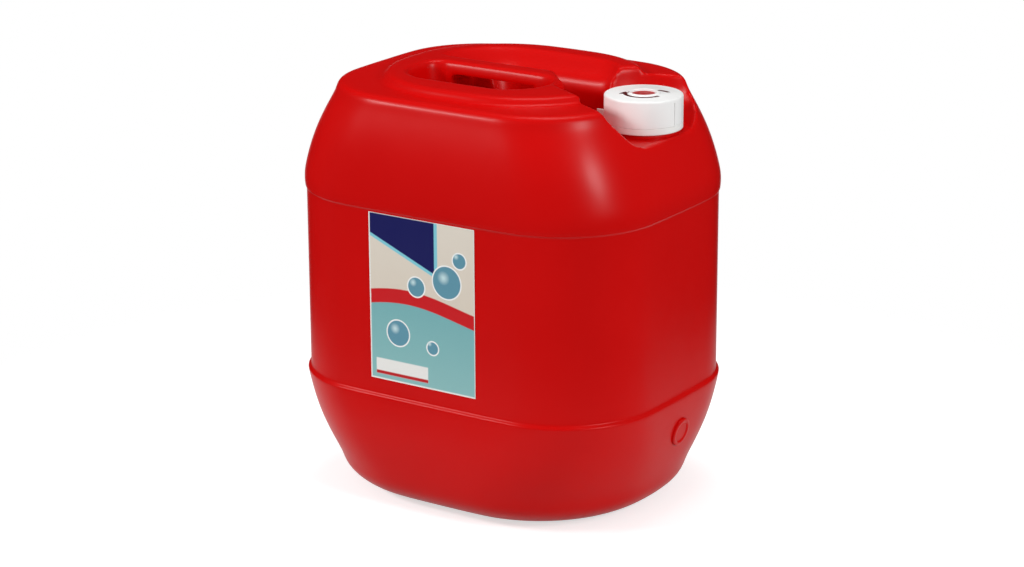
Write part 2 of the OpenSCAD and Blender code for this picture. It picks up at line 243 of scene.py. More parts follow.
def shoulder_levels():
    """The shoulder leans in with a slight bow, and a quarter round leads to the flat ledge."""
    levels = []
    low = RIDGE_HIGH + LEAN_Z
    for i in range(6):
        k = i / 5
        bow = BOW * sin(pi * k)
        levels.append((low + (LEDGE_Z - EDGE_RISE - low) * k,
                       HALF_W + LEAN_OUT - (LEDGE_X + LEAN_OUT) * k + bow,
                       HALF_D + LEAN_OUT - (LEDGE_Y + LEAN_OUT) * k + bow,
                       CORNER + LEAN_OUT + (LEDGE_CORNER - CORNER - LEAN_OUT) * k))
    for i in range(1, 5):
        w = radians(22.5 * i)
        run = EDGE_RUN * (1 - cos(w))
        levels.append((LEDGE_Z - EDGE_RISE + EDGE_RISE * sin(w), HALF_W - LEDGE_X - run,
                       HALF_D - LEDGE_Y - run, LEDGE_CORNER - run))
    return levels


def body_levels():
    return heel_levels() + band_levels() + shoulder_levels()


print("levels in the body:", len(body_levels()))

# %% The smooth body
bm = bmesh.new()
skin_over(bm, body_levels())
body = baked(smoothed(piece("body_form", bm)))
print("smooth body:", len(body.data.polygons), "faces")

# %% [markdown]
# ## The top: ring, pocket, grip bar and bowl
# On the flat ledge stands a stacking ring. A finger pocket, a dished basin behind the
# grip bar, a hand passage under the bar and the bowl around the neck are sunk into it.
# Each is its own closed form, and the Boolean modifier adds or cuts it. Insets and
# bevels in the body's own mesh would cross each other where pocket, bar and bowl meet.

# %% Stacking ring
RING_TOP, CLEAR = 393.0, 12
RING_HALF_X, RING_HALF_Y, RING_CORNER, RING_Y = 118.0, 108.0, 98, 4.0


def ring_form():
    bm = bmesh.new()
    steps = ((LEDGE_Z - 12, 0), (LEDGE_Z - 1, 0), (LEDGE_Z + 1.5, 0.8),
             (RING_TOP - 2.5, 2.6), (RING_TOP - 0.8, 4.0), (RING_TOP, 6.6))
    skin_over(bm, [(z, RING_HALF_X - inset, RING_HALF_Y - inset, RING_CORNER - inset, 0.0, RING_Y)
                   for z, inset in steps])
    return smoothed(piece("ring_form", bm))


stack_ring = ring_form()
print("stacking ring:", round(RING_TOP - LEDGE_Z, 1), "mm high")

# %% Finger pocket
POCKET_FLOOR, BAR_FRONT, BAR_BACK = 346.0, -1.5, 22.0
POCKET_LEFT, POCKET_RIGHT, POCKET_FRONT, FLARE = -85, 57, -67.5, 4
POCKET_CORNERS = [28, 16, 38, 38]


def rounded_box(z, x0, x1, y0, y1, corner):
    """The level of a ring that is given by its four sides."""
    return z, (x1 - x0) / 2, (y1 - y0) / 2, corner, (x0 + x1) / 2, (y0 + y1) / 2


def pocket_form():
    """Sunk from the ring's top, where its rim rounds out, to a floor smaller by the flare."""
    bm = bmesh.new()
    steps = ((POCKET_FLOOR, -FLARE - 4), (POCKET_FLOOR + 1.2, -FLARE - 1.6),
             (POCKET_FLOOR + 4.5, -FLARE), (RING_TOP - 9, -0.6), (RING_TOP - 4, 0.2),
             (RING_TOP - 1.2, 1.4), (RING_TOP, 3.4), (RING_TOP + CLEAR, 3.4))
    _, a, b, corners, cx, cy = rounded_box(POCKET_FLOOR, POCKET_LEFT, POCKET_RIGHT,
                                           POCKET_FRONT, BAR_FRONT, POCKET_CORNERS)
    skin_over(bm, [(z, a + out, b + out, [r + out for r in corners], cx, cy)
                   for z, out in steps])
    return smoothed(piece("pocket", bm))


print("the pocket is", RING_TOP - POCKET_FLOOR, "mm deep")

# %% Basin behind the grip bar
BASIN_LEFT, BASIN_RIGHT, BASIN_BACK = -90, 88.0, 84.0


def basin_form():
    """A dish: each level runs in from the left and the back by its own inset."""
    bm = bmesh.new()
    steps = ((POCKET_FLOOR, 38, 6), (POCKET_FLOOR + 1.5, 35, 3), (POCKET_FLOOR + 5, 33, 1),
             (374, 30, 0.4), (380, 26, 0), (384, 20, -0.2), (387, 12, -0.6), (389.5, 5, -1.2),
             (391.4, 1.2, -2.0), (RING_TOP - 0.2, -1.4, -4.2), (RING_TOP + CLEAR, -1.4, -4.2))
    skin_over(bm, [rounded_box(z, BASIN_LEFT + 1.5 * inset, BASIN_RIGHT, BAR_BACK + front,
                               BASIN_BACK - inset, [57 - inset, 52 - inset, 4, 4])
                   for z, inset, front in steps])
    return smoothed(piece("basin", bm))


recess = basin_form()
pocket = pocket_form()
print("the grip bar between pocket and basin is", BAR_BACK - BAR_FRONT, "mm deep")

# %% [markdown]
# ## Passage and bar end
# Fingers reach round the bar through a passage, a rounded slot that runs along Y. The cut
# beside the bar's end is a flat outline pulled up: a few points on an arc, then a
# straight rim towards the bowl. Nothing on it is round upwards, so an extrusion does it.

# %% Hand passage
PASSAGE_TOP = 381.0


def passage_form():
    bm = bmesh.new()
    floor, top = POCKET_FLOOR + 2.3, PASSAGE_TOP
    half_x, half_z, cx = 48.0, (top - floor) / 2, -19.0
    skin_over(bm, [(y, half_x, half_z, 8) for y in (-18, -8, 24, 34)])
    # The levels run along Z as they are made: this turn lays them along Y.
    middle = (floor + top) / 2 * MM
    place = Matrix(((1, 0, 0, cx * MM), (0, 0, 1, 0), (0, 1, 0, middle), (0, 0, 0, 1)))
    bmesh.ops.transform(bm, matrix=place, verts=bm.verts)
    bmesh.ops.recalc_face_normals(bm, faces=bm.faces)
    return smoothed(piece("passage", bm))


print("the passage lies", RING_TOP - PASSAGE_TOP, "mm under the top of the bar")


# %% A flat outline pulled up
def extruded(bm, points, along):
    """Makes one face of the points, pulls it along a vector and turns all faces outwards."""
    face = bm.faces.new([bm.verts.new(point) for point in points])
    grown = bmesh.ops.extrude_face_region(bm, geom=[face])["geom"]
    moved = [g for g in grown if isinstance(g, bmesh.types.BMVert)]
    bmesh.ops.translate(bm, verts=moved, vec=along)
    bmesh.ops.recalc_face_normals(bm, faces=bm.faces)


def pulled_up(name, outline, z0, z1):
    """A flat outline in millimetres, pulled up from z0 to z1."""
    bm = bmesh.new()
    extruded(bm, [(x * MM, y * MM, z0 * MM) for x, y in outline], (0, 0, (z1 - z0) * MM))
    return piece(name, bm)


print("ready to pull outlines up:", extruded.__name__, pulled_up.__name__)

# %% Bar end
TURN, ROUND, RIM_RUN = 47.8, 20.0, 34
END_FLOOR, END_TOP, END_WIDER = 349.1, 405, 18
cx, cy, start = 31 - ROUND * tan(radians(TURN / 2)), BAR_BACK - ROUND, 90 - TURN


def on_arc(degrees):
    return cx + ROUND * cos(radians(degrees)), cy + ROUND * sin(radians(degrees))


arc = [on_arc(start + (80 - start) * k / 8) for k in range(9)]
end_x = on_arc(start)[0] + RIM_RUN * cos(radians(TURN))
end_y = on_arc(start)[1] - RIM_RUN * sin(radians(TURN))
far_rim = [(cx + 7, BAR_BACK + 12), (end_x + END_WIDER, BAR_BACK + 12), (end_x + END_WIDER, end_y)]
bar_end = pulled_up("bar_end", arc + far_rim + [(end_x, end_y)], END_FLOOR, END_TOP)
passage = passage_form()
print("the bar ends in", len(arc), "arc points")

# %% [markdown]
# ## The bowl
# The neck stands in a bowl, so that a stacked canister doesn't press on the cap. It is
# turned like a dish: spin takes its profile round the neck, and a scale along Y makes it
# oval. A leaning straight wall shuts it towards the front, so a second form is crossed
# with it. One loft would need a new outline at every height.

# %% Turning a profile
NECK = Vector((128, 20, 0)) * MM
ON_AXIS = Vector((0, 0, 0))


def turned(name, profile, steps=96, closed=False, centre=NECK):
    """Spins a profile of (radius, height) in millimetres about the upright through centre."""
    bm = bmesh.new()
    verts = [bm.verts.new((r * MM, 0, z * MM)) for r, z in profile]
    edges = [bm.edges.new(pair) for pair in zip(verts, verts[1:] + (verts[:1] if closed else []))]
    bmesh.ops.spin(bm, geom=verts + edges, cent=(0, 0, 0), axis=(0, 0, 1), angle=2 * pi,
                   steps=steps, use_merge=True)
    bmesh.ops.remove_doubles(bm, verts=bm.verts, dist=1e-6)
    bmesh.ops.translate(bm, verts=bm.verts, vec=centre)
    bmesh.ops.recalc_face_normals(bm, faces=bm.faces)
    return piece(name, bm)


print("neck axis at", [round(c / MM) for c in NECK[:2]], "mm")

# %% Bowl and its front wall
BOWL_FLOOR, BOWL_R, BOWL_FLOOR_R = 349.5, 66.0, 46.0
BOWL_X, BOWL_Y, OVAL = 128 * MM, 6 * MM, 1.27
WALL_SKEW, WALL_REACH = 29.3, -72 * MM
rise, run = LEDGE_Z - 5 - BOWL_FLOOR, BOWL_R - 1 - BOWL_FLOOR_R
dish = [(0, BOWL_FLOOR), (BOWL_FLOOR_R, BOWL_FLOOR)]
dish += [(BOWL_FLOOR_R + run * a, BOWL_FLOOR + rise * b)
         for a, b in ((0.17, 0.09), (0.5, 0.25), (0.72, 0.44), (0.92, 0.73), (1, 1))]
dish += [(BOWL_R, RING_TOP - 4), (BOWL_R + 1, RING_TOP - 1.5), (BOWL_R + 3.4, RING_TOP),
         (BOWL_R + 3.4, RING_TOP + CLEAR), (0, RING_TOP + CLEAR)]
bowl = turned("bowl", dish, centre=ON_AXIS)
bowl.data.transform(Matrix.Translation((BOWL_X, BOWL_Y, 0)) @ Matrix.Diagonal((1, OVAL, 1, 1)))

wall = [(34, -3), (33, 1.7), (28, 5), (23, 9), (16.5, 15.5), (9.3, 22.7), (3, 30), (0, 35.5),
        (0, 40.7), (-2, 43.7), (-2, 63), (240, 63), (240, -3)]
front_wall = pulled_up("front_wall", wall, -120, 120)
at_neck = Matrix.Translation(NECK + Vector((0, 0, BOWL_FLOOR * MM)))
facing = Matrix.Rotation(radians(90 - WALL_SKEW), 4, "Z")
upright = Matrix.Rotation(radians(90), 4, "X")
front_wall.data.transform(at_neck @ facing @ upright @ Matrix.Translation((WALL_REACH, 0, 0)))
bowl = baked(cut(bowl, front_wall, "INTERSECT"))
print("bowl:", len(bowl.data.polygons), "faces")

# %% [markdown]
# ## From cut forms to one blown skin
# Blow moulding can't make a sharp edge. Voxel Remesh turns the cut forms into one even
# mesh, and a few rounds of smoothing melt its edges. A Bevel modifier would fail on the
# slivers that Booleans leave. Only the top needs that: below the upper ridge the clean
# cage is kept, and bridge_loops joins the two.

# %% Slice at a height
def sliced(obj, z, keep_above):
    """A bmesh of the part of the object above or below z."""
    bm = bmesh.new()
    bm.from_mesh(obj.data)
    bmesh.ops.bisect_plane(bm, geom=bm.verts[:] + bm.edges[:] + bm.faces[:], plane_co=(0, 0, z),
                           plane_no=(0, 0, 1), clear_inner=keep_above,
                           clear_outer=not keep_above, dist=1e-7)
    return bm


SEAM, MELT_FROM, VOXEL = 287.0 * MM, 276 * MM, 1.9 * MM
print("seam at", round(SEAM / MM), "mm, voxels of", VOXEL / MM, "mm")

# %% Remesh the top
bm = sliced(body, MELT_FROM, True)
bmesh.ops.holes_fill(bm, edges=[e for e in bm.edges if e.is_boundary], sides=0)
bmesh.ops.recalc_face_normals(bm, faces=bm.faces)
top = piece("top_form", bm)
cut(top, stack_ring, "UNION")
for tool in (pocket, recess, passage, bar_end, bowl):
    cut(top, tool)
voxels = top.modifiers.new("voxels", "REMESH")
voxels.mode, voxels.voxel_size = "VOXEL", VOXEL
melt = top.modifiers.new("melt", "SMOOTH")
melt.factor, melt.iterations = 0.5, 5
baked(top)
discard(stack_ring, pocket, recess, passage, bar_end, bowl, front_wall)
print("remeshed top:", len(top.data.polygons), "faces")

# %% Join the clean lower body to the melted top
GAP = 0.2 * MM
upper = sliced(top, SEAM + GAP, True)
lower = sliced(body, SEAM - GAP, False)
kept = bpy.data.meshes.new("kept")
lower.to_mesh(kept)
upper.from_mesh(kept)
lower.free()
rims = [e for e in upper.edges if e.is_boundary]
bmesh.ops.bridge_loops(upper, edges=rims)
bmesh.ops.recalc_face_normals(upper, faces=upper.faces)
print("rim edges bridged:", len(rims), "open edges left:", sum(e.is_boundary for e in upper.edges))
skin = piece("canister_skin", upper)
discard(body, top)

# %% [markdown]
# ## Neck and thread
# The neck is turned in one spin. Its thread is a small four-sided profile that the same
# operator winds up the neck, because spin can also climb with every step. The Screw
# modifier does the same, but it would leave one more modifier to bake.

# %% Thread
def thread(name, root, tip, z, pitch, turns, width, centre=NECK, steps=64):
    """Winds a four-sided profile from radius root to radius tip up from the height z."""
    bm = bmesh.new()
    section = [(root, -width / 2), (tip, -width / 4), (tip, width / 4), (root, width / 2)]
    verts = [bm.verts.new((r * MM, 0, (z + h) * MM)) for r, h in section]
    edges = [bm.edges.new(pair) for pair in zip(verts, verts[1:] + verts[:1])]
    count = int(steps * turns)
    bmesh.ops.spin(bm, geom=verts + edges, cent=(0, 0, 0), axis=(0, 0, 1),
                   angle=2 * pi * turns, steps=count,
                   dvec=(0, 0, pitch * turns / count * MM), use_merge=False)
    bmesh.ops.holes_fill(bm, edges=[e for e in bm.edges if e.is_boundary], sides=4)
    bmesh.ops.translate(bm, verts=bm.verts, vec=centre)
    bmesh.ops.recalc_face_normals(bm, faces=bm.faces)
    return piece(name, bm)


PITCH, BORE_R = 6.0, 26.5
print("thread:", PITCH, "mm a turn")

# %% Neck with its collar
neck = turned("neck", [(BORE_R, 345.8), (31.5, 345.8), (31.5, 348.9), (33.0, 349.0),
                       (33.2, 349.3), (33.2, 352.6), (32.9, 353), (30.4, 353), (30, 353.4),
                       (30, 378.6), (29.7, 379.2), (29.1, 379.5), (27.2, 379.5),
                       (26.7, 379.3), (BORE_R, 378.8)], closed=True)
neck_thread = thread("neck_thread", 29.6, 31.8, 361.5, PITCH, 1.9, 3.2)
print("neck:", len(neck.data.polygons), "faces, thread:", len(neck_thread.data.polygons))

# %% [markdown]
# ## Boss, bore and the hollow inside
# Low on the right side stands a small round boss with a dished middle, turned upright
# and then leaned onto the wall. The hollow is a plain form inside the walls, cut away
# with the pouring bore, so that a look past the lifted cap ends on the far wall. A
# Solidify modifier would make a wall too, but its inner skin crosses itself in the bowl.

# %% Boss and bore
BOSS_PLACE, BOSS_LEAN = Vector((178.9, 8, 75.3)) * MM, radians(101.5)
boss = turned("boss", [(0, -5), (13.5, -5), (13.5, -1.2), (13.2, -0.4), (12.5, 0), (10.4, 0),
                       (9.8, -0.3), (9.0, -1.0), (0, -1.0)], steps=64, centre=ON_AXIS)
boss.data.transform(Matrix.Translation(BOSS_PLACE) @ Matrix.Rotation(BOSS_LEAN, 4, "Y"))
bore = turned("bore", [(0, 335), (BORE_R, 335), (BORE_R, 400), (0, 400)])
print("the bore is", 2 * BORE_R, "mm wide")

# %% Hollow
WALL, HOLLOW_LOW, HOLLOW_HIGH = 2.2, 8, 343
bm = bmesh.new()
inside = [(z, a - WALL, b - WALL, r - WALL)
          for z, a, b, r in body_levels() if HOLLOW_LOW < z < HOLLOW_HIGH]
skin_over(bm, inside + [(HOLLOW_HIGH + 0.2, 163.4, 134.4, 90)])
hollow = smoothed(piece("hollow", bm), 1)
print("the hollow starts at", round(inside[0][0], 1), "mm")

# %% The finished canister
SHARP_BODY, SHARP_SMALL = radians(38), radians(40)
cut(skin, hollow)
cut(skin, bore)
for tool in (neck, neck_thread, boss):
    cut(skin, tool, "UNION")
baked(skin)
skin.data.set_sharp_from_angle(angle=SHARP_BODY)
discard(neck, neck_thread, boss, bore, hollow)
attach(skin, "canister")
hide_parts("canister")
print("canister skin:", sum(len(p.vertices) - 2 for p in skin.data.polygons), "triangles")

# %% [markdown]
# ## Cap
# The cap is one turned shell: a flat top with a low collar round the sunk plug, a rounded
# rim and a plain skirt, with its own thread inside. Drawn as a profile, every rounding
# has its own true size, which one Bevel modifier on a cylinder can't give.

# %% Cap
CAP_R, CAP_LOW, CAP_TOP, CAP_BORE = 35.6, 359.0, 383.5, 32.6
under = [(0, 381.1), (CAP_BORE - 1.2, 381.1), (CAP_BORE - 0.3, 380.8), (CAP_BORE, 380.0),
         (CAP_BORE, CAP_LOW + 0.4), (CAP_BORE + 0.4, CAP_LOW), (CAP_R - 0.2, CAP_LOW)]
skirt = [(CAP_R, CAP_LOW + 0.15), (CAP_R, CAP_LOW + 1.2), (CAP_R, CAP_TOP - 1.9),
         (CAP_R - 0.2, CAP_TOP - 1.1), (CAP_R - 0.6, CAP_TOP - 0.5),
         (CAP_R - 1.2, CAP_TOP - 0.15), (CAP_R - 2, CAP_TOP)]
collar = [(14.7, CAP_TOP), (14.2, CAP_TOP + 0.2), (13.9, CAP_TOP + 0.9), (13.4, CAP_TOP + 1.3),
          (12.0, CAP_TOP + 1.3), (11.5, CAP_TOP + 1.0), (11.2, CAP_TOP - 0.3),
          (11, CAP_TOP - 1.2), (0, CAP_TOP - 1.2)]
cap = turned("cap_moulded", under + skirt + collar, steps=128)
cap_thread = thread("cap_thread", CAP_BORE + 0.3, CAP_BORE - 1.9, 364.4, PITCH, 1.6, 3.0)
print("cap:", 2 * CAP_R, "mm across")

# %% [markdown]
# Two fine upright lines on the skirt show where the parts of the mould met. Thin blades
# set round the cap cut them, which also shows in the exported mesh; lines in a material
# would not.

# %% Seam lines in the skirt

def seams(angles, width=0.8, depth=0.8):
    """Thin upright blades, each half sunk into the skirt at its angle in degrees."""
    bm = bmesh.new()
    low, high = CAP_LOW - 1, CAP_TOP - 3.4
    size = Matrix.Diagonal((2 * depth * MM, width * MM, (high - low) * MM, 1))
    for angle in angles:
        out = Matrix.Translation(Vector((CAP_R, 0, (low + high) / 2)) * MM)
        place = Matrix.Rotation(radians(angle), 4, "Z") @ out
        bmesh.ops.create_cube(bm, size=1, matrix=place @ size)
    bmesh.ops.translate(bm, verts=bm.verts, vec=NECK)
    return piece("seams", bm)


seam_blades = seams((-8.4, 11.6))
baked(cut(cut(cap, cap_thread, "UNION"), seam_blades))
discard(cap_thread, seam_blades)
cap.data.set_sharp_from_angle(angle=SHARP_SMALL)
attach(cap, "cap")
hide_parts("screw_cap")
print("cap:", len(cap.data.polygons), "faces")

# %% [markdown]
# ## Plug
# The vent plug is a flat red button, sunk in the cap's top, with a thin rim and a small
# pip in the middle. It is turned as well, because all its edges are circles.

# %% Plug
plug = turned("vent_button", [(0, 382.3), (10.9, 382.3), (11, 382.5), (11, 382.9),
                              (10.7, 383.1), (9.8, 383.1), (9.4, 382.95), (2.6, 382.95),
                              (2.2, 383.1), (1.6, 383.2), (0, 383.2)], steps=96)
plug.data.set_sharp_from_angle(angle=SHARP_SMALL)
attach(plug, "cap")
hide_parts("vent_plug")
print("plug:", len(plug.data.polygons), "faces")

# %% [markdown]
# ## Tamper band with its tab
# The band stays under the cap, which it held by tiny bridges until the first opening. It
# is turned too. Its tear tab is a flat outline that is pulled to a thin plate and then
# bevelled, and the bridges are small blocks set round the gap with rotated copies.

# %% Band and tab
BAND_TOP = 358.85
band = turned("tamper_band", [(31.4, 353.3), (31.7, 353), (35.2, 353), (35.55, 353.4),
                              (35.6, 354), (35.6, 358.7), (35.4, BAND_TOP), (34.9, BAND_TOP),
                              (31.8, BAND_TOP), (31.4, 358.5)], closed=True, steps=128)


def blade(half_thick=0.8):
    bm = bmesh.new()
    outline = [(-48.8, 353.2), (-35.0, 353.2), (-35.0, 358.6), (-36.2, 363.2), (-48.8, 363.2)]
    extruded(bm, [(x * MM, -half_thick * MM, z * MM) for x, z in outline],
             (0, 2 * half_thick * MM, 0))
    bmesh.ops.bevel(bm, geom=bm.edges[:], offset=0.35 * MM, segments=2, affect="EDGES",
                    profile=0.5, material=-1)
    bmesh.ops.translate(bm, verts=bm.verts, vec=NECK)
    return piece("blade", bm)


print("band:", round(BAND_TOP - 353, 2), "mm high")


# %% Bridges, and the band in one
def bridges(count=12):
    bm = bmesh.new()
    out = Matrix.Translation((34.2 * MM, 0, 358.55 * MM))
    size = Matrix.Diagonal((1.2 * MM, 0.9 * MM, 0.8 * MM, 1))
    for i in range(count):
        turned_on = Matrix.Rotation(2 * pi * (i + 0.5) / count, 4, "Z")
        bmesh.ops.create_cube(bm, size=1, matrix=turned_on @ out @ size)
    bmesh.ops.translate(bm, verts=bm.verts, vec=NECK)
    return piece("bridges", bm)


tab, links = blade(), bridges()
cut(band, tab, "UNION")
cut(band, links, "UNION")
baked(band)
discard(tab, links)
band.data.set_sharp_from_angle(angle=SHARP_SMALL)
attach(band, "canister")
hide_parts("tamper_ring")
print("band:", len(band.data.polygons), "faces")

# %% [markdown]
# ## Shader maths as Python
# A small class wraps a socket, so that masks read like sums and each sum adds its own
# Math node. Clicked together in the editor, the label alone would take a hundred nodes.
# Every other node comes from one method of Finish, which sets a node's settings first
# and then its inputs.

# %% Sockets that can be added
class Wire:
    def __init__(self, finish, socket):
        self.finish, self.socket = finish, socket

    def math(self, how, *others, clamp=False):
        settings = {"operation": how, "use_clamp": clamp}
        return self.finish.node("ShaderNodeMath", settings, dict(enumerate((self, *others))))

    def __add__(self, other): return self.math("ADD", other)
    __radd__ = __add__
    def __mul__(self, other): return self.math("MULTIPLY", other)
    __rmul__ = __mul__
    def __sub__(self, other): return self.math("SUBTRACT", other)
    def __rsub__(self, other): return (self * -1.0) + other
    def __truediv__(self, other): return self.math("DIVIDE", other)
    def root(self): return self.math("SQRT")
    def sine(self): return self.math("SINE")
    def size(self): return self.math("ABSOLUTE")
    def clamped(self): return self.math("ADD", 0.0, clamp=True)


print("a wire can:", ", ".join(n for n in vars(Wire) if n[0] != "_"))


# %% A finish that makes nodes
OBJECT_COORDINATES = 3


class Finish:
    """One material: constants go on the shader's own sockets, what varies is linked to them."""
    def __init__(self, name, **constants):
        self.material = bpy.data.materials.new(name)
        self.material.use_nodes = True
        self.tree = self.material.node_tree
        self.shader = self.tree.nodes["Principled BSDF"]
        for socket, value in constants.items():
            self.shader.inputs[socket.replace("_", " ")].default_value = value

    def node(self, kind, settings=None, inputs=None, out=0):
        """Makes any node: first its settings, then the values or links of its sockets."""
        made = self.tree.nodes.new(kind)
        for name, value in (settings or {}).items():
            if name == "stops":
                ramp = made.color_ramp
                for at, color in value[1:-1]:
                    ramp.elements.new(at)
                for element, (at, color) in zip(ramp.elements, value):
                    element.position, element.color = at, (*color, 1)
            else:
                setattr(made, name, value)
        for key, value in (inputs or {}).items():
            if isinstance(value, Wire):
                self.tree.links.new(value.socket, made.inputs[key])
            else:
                made.inputs[key].default_value = value
        return Wire(self, made.outputs[out])

    def place(self):
        """Object coordinates: they stay put on the piece, whatever its pose."""
        return self.node("ShaderNodeTexCoord", out=OBJECT_COORDINATES)

    def axes(self):
        split = self.node("ShaderNodeSeparateXYZ", None, {0: self.place()}).socket.node
        return [Wire(self, s) for s in split.outputs]

    def noise(self, scale, detail=2.0, rough=0.5):
        inputs = {"Vector": self.place(), "Scale": scale, "Detail": detail, "Roughness": rough}
        return self.node("ShaderNodeTexNoise", None, inputs)

    def mixed(self, mask, a, b):
        """Colour a where the mask is 0 and b where it is 1."""
        a, b = [c if isinstance(c, Wire) else (*c, 1) for c in (a, b)]
        return self.node("ShaderNodeMix", {"data_type": "RGBA"}, {0: mask, 6: a, 7: b}, out=2)

    def bump(self, height, distance, strength=1.0, under=None):
        """A normal that follows the height, in metres of distance, on top of another bump."""
        inputs = {"Strength": strength, "Distance": distance, "Height": height}
        if under:
            inputs["Normal"] = under
        return self.node("ShaderNodeBump", None, inputs)

    def wire(self, **sockets):
        for name, value in sockets.items():
            self.tree.links.new(value.socket, self.shader.inputs[name.replace("_", " ")])
        return self

    def on(self, *objects):
        for obj in objects:
            obj.data.materials.clear()
            obj.data.materials.append(self.material)
        return self


def srgb(*rgb):
    """A colour as a screen counts it, 0 to 255, turned into the linear values of a shader."""
    shares = [c / 255 for c in rgb]
    return tuple(c / 12.92 if c < 0.04045 else ((c + 0.055) / 1.055) ** 2.4 for c in shares)


print("finish tools ready, red is", [round(c, 3) for c in srgb(200, 3, 3)])

# %% [markdown]
# ## Red blown plastic
# Blown polyethylene is evenly coloured with a soft gloss. Up close it has a fine
# pebble from the mould, slow waves from cooling and a few faint scuffs. The waves and
# the pebble go into Bump, because as geometry they would need millions of faces, and
# the scuffs only raise the roughness.

# %% Red plastic
BLACK, WHITE = (0, 0, 0), (1, 1, 1)
red = Finish("red_plastic", Specular_IOR_Level=0.16, IOR=1.5)
drift = red.noise(9.0, 3.0)
stops = [(0.0, BLACK), (0.5, BLACK), (0.85, WHITE), (1.0, WHITE)]
scuff = red.node("ShaderNodeValToRGB", {"stops": stops}, {0: red.noise(46.0, 6.0, 0.7)})
scuffed = red.node("ShaderNodeRGBToBW", None, {0: scuff})
waves = red.bump(red.noise(14.0, 2.0), 0.0016, 0.35)
pebble = red.bump(red.noise(1400.0, 2.0), 0.00006, 0.4, under=waves)
red.wire(Base_Color=red.mixed(drift, srgb(196, 1, 0), srgb(208, 3, 2)),
         Roughness=0.27 + drift * 0.06 + scuffed * 0.03, Normal=pebble)
red.on(skin)
print("red plastic has", len(red.tree.nodes), "nodes")

# %% [markdown]
# ## White cap plastic
# The cap is injection moulded, so it is smoother than the body. Band and cap share one
# recipe, made twice, because the print on the cap mustn't reach the band.

# %% White plastic
def white_finish(name):
    """A white plastic without its colour, and the slow noise that may vary that colour."""
    made = Finish(name, Specular_IOR_Level=0.4)
    fine = made.noise(700.0, 3.0)
    slow = made.noise(30.0, 2.0)
    made.wire(Roughness=0.3 + slow * 0.1, Normal=made.bump(fine, 0.00008, 0.3))
    return made, slow


plain, faint = white_finish("band_plastic")
plain.wire(Base_Color=plain.mixed(faint, srgb(236, 236, 233), srgb(246, 246, 244)))
plain.on(band)
print("band plastic has", len(plain.tree.nodes), "nodes")

# %% [markdown]
# On the cap's top a dark red arrow turns round the plug: a long arc with a pointed head
# and one short stroke. Each is a mask on the angle and the distance to the cap's axis. A
# picture would be quicker, but it blurs close up and needs a UV map.

# %% Angle and distance on the cap
PRINT_TURN = radians(33.6)
white, slow = white_finish("white_plastic")
x, y, z = white.axes()
dx, dy = (x - NECK.x) / MM, (y - NECK.y) / MM
far = (dx * dx + dy * dy).root()
across = dx * cos(PRINT_TURN) + dy * sin(PRINT_TURN)
toward = dx * sin(PRINT_TURN) - dy * cos(PRINT_TURN)
angle = white.node("ShaderNodeMath", {"operation": "ARCTAN2"}, {0: across, 1: toward}) * (180 / pi)
print("the print is turned by", round(PRINT_TURN, 3), "radians")


# %% Print on the cap
def band_mask(value, middle, half, soft):
    """1 within half of the middle, with an edge as wide as soft."""
    return ((half - (value - middle).size()) / soft).clamped()


ARC_R = 17.0
arc_mask = band_mask(far, ARC_R, 1.9, 0.25) * band_mask(angle, -18.0, 67.0, 1.5)
point = (((angle + 114.0) * 0.19 - (far - ARC_R).size()) / 0.3).clamped()
head_mask = point * band_mask(angle, -98.0, 14.0, 0.5)
slanting = far + (angle - 95.0) * 0.16
stroke_mask = band_mask(slanting, 22.6, 1.9, 0.25) * band_mask(angle, 113.0, 18.0, 1.5)
on_top = ((z - (CAP_TOP - 0.3) * MM) / (0.1 * MM)).clamped()
print_mask = ((arc_mask + head_mask + stroke_mask) * on_top).clamped()
white_color = white.mixed(slow, srgb(238, 238, 237), srgb(248, 248, 247))
white.wire(Base_Color=white.mixed(print_mask, white_color, srgb(84, 6, 10)))
white.on(cap)
print("white plastic has", len(white.tree.nodes), "nodes")

# %% [markdown]
# ## Plug and sealing wad
# The plug is a deeper, duller red than the body. The wad inside the cap is foamed sheet:
# a cell texture gives its pores, as a noise has no walls between its spots. The wad keeps
# the solid's own mesh, which is a plain disc.

# %% Plug and wad finishes
button = Finish("plug_plastic", Specular_IOR_Level=0.4)
grain = button.noise(500.0, 2.0)
button.wire(Base_Color=button.mixed(grain, srgb(168, 10, 12), srgb(184, 14, 14)),
            Roughness=0.3 + grain * 0.1, Normal=button.bump(grain, 0.00005, 0.3))
button.on(plug)
foam = Finish("wad_foam", Specular_IOR_Level=0.2)
cells = foam.node("ShaderNodeTexVoronoi", None, {"Vector": foam.place(), "Scale": 2500.0})
foam.wire(Base_Color=foam.mixed(cells, srgb(222, 221, 212), srgb(238, 237, 230)),
          Roughness=0.7 + cells * 0.2, Normal=foam.bump(cells, 0.0001, 0.5))
foam.on(frame["nodes"]["sealing_wad"])
print("plug and wad have", len(button.tree.nodes), "and", len(foam.tree.nodes), "nodes")

# %% [markdown]
# ## The label
# The label is a printed film stuck flat on the front. Its print here is a plain design
# of its own: a warm upper field, a teal lower field, a navy corner, a red sweep and a few
# soap bubbles, all drawn from the two coordinates of the label's plane. Each shape is a
# mask, and every mask lays one more colour over what is there.

# %% Coordinates and masks of the label
LABEL_LEFT, LABEL_LOW, LABEL_WIDE, LABEL_TALL = -61.0, 127.5, 114.0, 156.0
film = Finish("label_film", Specular_IOR_Level=0.35)
x, y, z = film.axes()
u, v = (x / MM - LABEL_LEFT) / LABEL_WIDE, (z / MM - LABEL_LOW) / LABEL_TALL


def above(value, limit, soft=0.006):
    """1 where the value is past the limit."""
    return ((value - limit) / soft).clamped()


def within(value, low, high):
    return above(value, low) * (1.0 - above(value, high))


